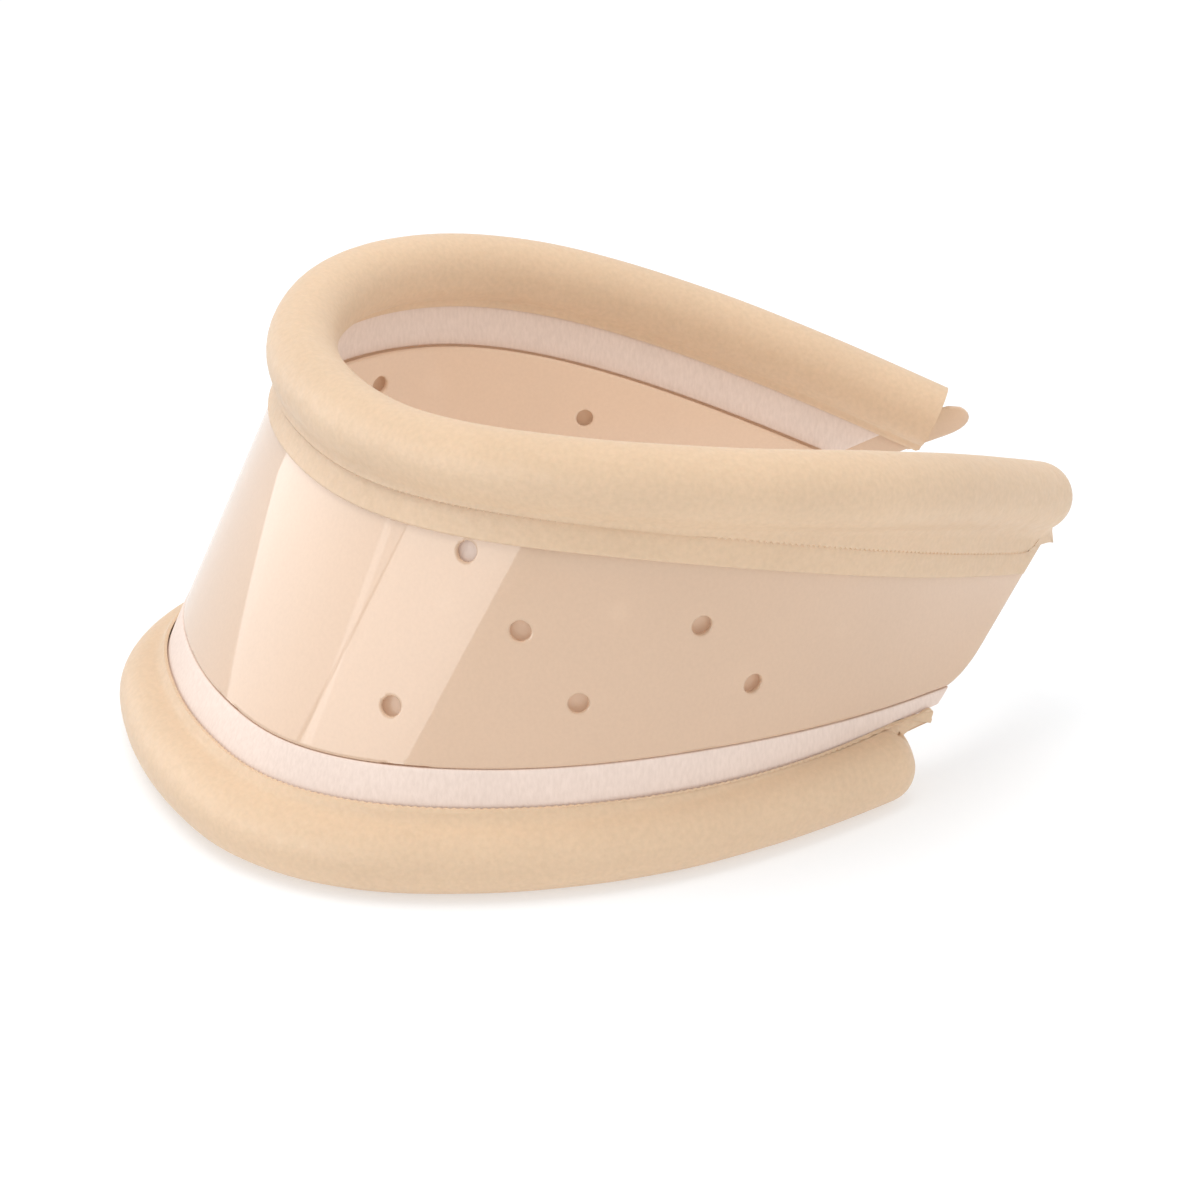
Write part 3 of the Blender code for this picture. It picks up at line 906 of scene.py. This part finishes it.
def build_bottom(finishes):
    def low(fraction):
        return share_above_bottom(fraction, EDGE_IN_ROLL)

    def foot(fraction):
        return share_above_bottom(fraction, BOTTOM_TAPE_FOOT)

    def high(fraction):
        return share_below_top(fraction, TOP_INNER_TAPE_REACH + INNER_BAND_GAP)

    def inner(fraction):
        return share_above_bottom(fraction, edge_line(BOTTOM_INNER_TAPE_TOP, fraction))

    def seam(fraction):
        return share_above_bottom(fraction, edge_line(BOTTOM_SEAM_RISE, fraction))

    sheet = band("inner_sheet", -NEAR_BAND_END, NEAR_BAND_END, low, high, LOWER_HOLES, LOWER_BAND)
    finish_piece(sheet, finishes["inner"], "lower", "plastic", "lower_band")
    strip = ribbon("white_strip", *WHITE_STRIP_ENDS, foot, strip_top_share, BOTTOM_OUTER_TAPE, 0.1, seam)
    finish_piece(strip, finishes["strip"], "lower", "white_tape", "bottom_outer_tape")
    tape = ribbon("bottom_seam_tape", *BOTTOM_ROLL_ENDS, foot, inner, BOTTOM_INNER_TAPE)
    finish_piece(tape, finishes["vinyl"], "lower", "vinyl", "bottom_inner_tape")
    roll = Roll(
        line=bottom_line,
        ends=BOTTOM_ROLL_ENDS,
        lip_end=0.9752,
        toward_wall=1,
        lies_flat=True,
        share=share_above_bottom,
        outer_reach=BOTTOM_SEAM_RISE,
        outer_lip=BOTTOM_OUTER_LIP,
        inner_lip=BOTTOM_INNER_TAPE[0] - LAYER_GAP,
        tooth_depth=0.25,
        run_out=2.8,
    )
    cover = roll_cover("bottom_roll", roll, 8)
    finish_piece(cover, finishes["vinyl"], "lower", "vinyl", "bottom_roll_cover")
    core = roll_core("bottom_roll_core", roll, 9)
    finish_piece(core, finishes["foam"], "lower", "foam", "bottom_roll_foam")


def build_closure(finishes):
    back = LOWER_BAND[0] - LAYER_GAP
    face = back - PATCH_BACKING
    base = ribbon("hook_base", *HOOK_PATCH, patch_low, patch_high, (face, back), stations=40)
    finish_piece(base, finishes["patch"], "lower", "patch", "closure_hook_patch")
    hooks = pile("hooks", HOOK_PATCH, face, -1, pitch=1.1, height=0.55, radius=0.07, curl=1.0, seed=5)
    finish_piece(hooks, finishes["patch"], "lower", "patch")
    back = UPPER_BAND[1] + LAYER_GAP
    face = back + PATCH_BACKING
    base = ribbon("loop_base", *LOOP_PATCH, patch_low, patch_high, (back, face), stations=40)
    finish_piece(base, finishes["patch"], "upper", "patch", "closure_loop_patch")
    loops = pile("loops", LOOP_PATCH, face, 1, pitch=0.8, height=0.45, radius=0.05, curl=1.6, seed=6)
    finish_piece(loops, finishes["patch"], "upper", "patch")


def build_collar():
    finishes = {
        "vinyl": vinyl("tan vinyl", (0.785, 0.57, 0.385)),
        "plastic": plastic("flesh plastic", (0.84, 0.615, 0.44), 0.25, 0.75, 0.04),
        "inner": plastic("inner flesh plastic", (0.84, 0.64, 0.48), 0.2, 0.2, 0.12),
        "tape": woven("pale seam tape", (0.86, 0.71, 0.62), 0.1, 0.05),
        "strip": woven("white strip", (0.88, 0.72, 0.63), 0.0, 0.03),
        "foam": foam("foam", (0.86, 0.80, 0.62)),
        "patch": thread("hook and loop", (0.80, 0.66, 0.52)),
    }
    build_top(finishes)
    build_bottom(finishes)
    build_closure(finishes)


# ---------------------------------------------------------------- stage

def direction(azimuth, elevation):
    """Unit vector at an azimuth from the front middle towards +X, and an elevation."""
    flat = math.cos(elevation)
    return Vector((math.sin(azimuth) * flat, -math.cos(azimuth) * flat, math.sin(elevation)))


def aim(obj, target):
    obj.rotation_euler = (Vector(target) - obj.location).to_track_quat("-Z", "Y").to_euler()


def make_camera():
    data = bpy.data.cameras.new("camera")
    data.lens = CAMERA_LENS
    data.sensor_width = 36.0
    data.shift_x, data.shift_y = CAMERA_SHIFT
    data.clip_start = 0.01
    camera = bpy.data.objects.new("camera", data)
    target = Vector(CAMERA_TARGET) * MM
    camera.location = target + direction(CAMERA_AZIMUTH, CAMERA_ELEVATION) * CAMERA_DISTANCE * MM
    aim(camera, target)
    bpy.context.scene.collection.objects.link(camera)
    bpy.context.scene.camera = camera


def panel(name, azimuth, elevation, distance, size, power, target=(0, 0, 0.04)):
    """A rectangular soft light, square to the collar."""
    data = bpy.data.lights.new(name, "AREA")
    data.shape = "RECTANGLE"
    data.size, data.size_y = size
    data.energy = power
    light = bpy.data.objects.new(name, data)
    light.location = direction(math.radians(azimuth), math.radians(elevation)) * distance
    light.location += Vector(target)
    aim(light, target)
    bpy.context.scene.collection.objects.link(light)
    return light


def make_stage():
    bpy.context.scene.view_settings.view_transform = "Standard"
    builder = bmesh.new()
    bmesh.ops.create_grid(builder, x_segments=2, y_segments=2, size=FLOOR_SIZE)
    mesh = bpy.data.meshes.new("floor")
    builder.to_mesh(mesh)
    builder.free()
    floor = bpy.data.objects.new("floor", mesh)
    bpy.context.scene.collection.objects.link(floor)
    made, _, shader = new_material("pale floor", FLOOR_COLOUR, 0.9)
    set_values(shader, {
        "Specular IOR Level": 0.0,
        "Emission Color": (1, 1, 1, 1),
        "Emission Strength": FLOOR_GLOW,
    })
    mesh.materials.append(made)
    world = bpy.data.worlds.new("studio")
    world.use_nodes = True
    background = world.node_tree.nodes["Background"]
    background.inputs["Color"].default_value = (1, 1, 1, 1)
    background.inputs["Strength"].default_value = WORLD_STRENGTH
    bpy.context.scene.world = world


def reflector(name, azimuth, elevation, distance, size, power, lean=0.0):
    """A panel that shows only as a reflection, turned by lean about its own middle."""
    light = panel(name, azimuth, elevation, distance, size, power)
    light.rotation_euler.rotate_axis("Z", math.radians(lean))
    light.visible_diffuse = False
    light.visible_transmission = False


def make_lights():
    overhead = panel("overhead", -10, 80, 1.3, (0.9, 0.9), 7.5)
    overhead.visible_glossy = False
    reflector("front box", -38, 14, 0.9, (0.90, 0.5), 3.0)
    reflector("side box", 15, 12, 0.9, (0.80, 0.45), 4.0)
    reflector("left stripe", -12.6, 10.4, 0.9, (0.016, 0.24), 0.022, 60)
    reflector("right stripe", -9.4, 9.7, 0.9, (0.012, 0.24), 0.016, 60)


make_camera()
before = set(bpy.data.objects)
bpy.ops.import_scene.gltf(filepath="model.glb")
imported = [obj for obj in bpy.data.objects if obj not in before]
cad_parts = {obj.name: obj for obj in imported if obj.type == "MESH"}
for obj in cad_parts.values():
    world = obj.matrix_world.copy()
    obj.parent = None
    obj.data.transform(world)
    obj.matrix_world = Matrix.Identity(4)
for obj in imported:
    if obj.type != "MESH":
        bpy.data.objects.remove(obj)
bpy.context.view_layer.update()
make_stage()
make_lights()
build_collar()
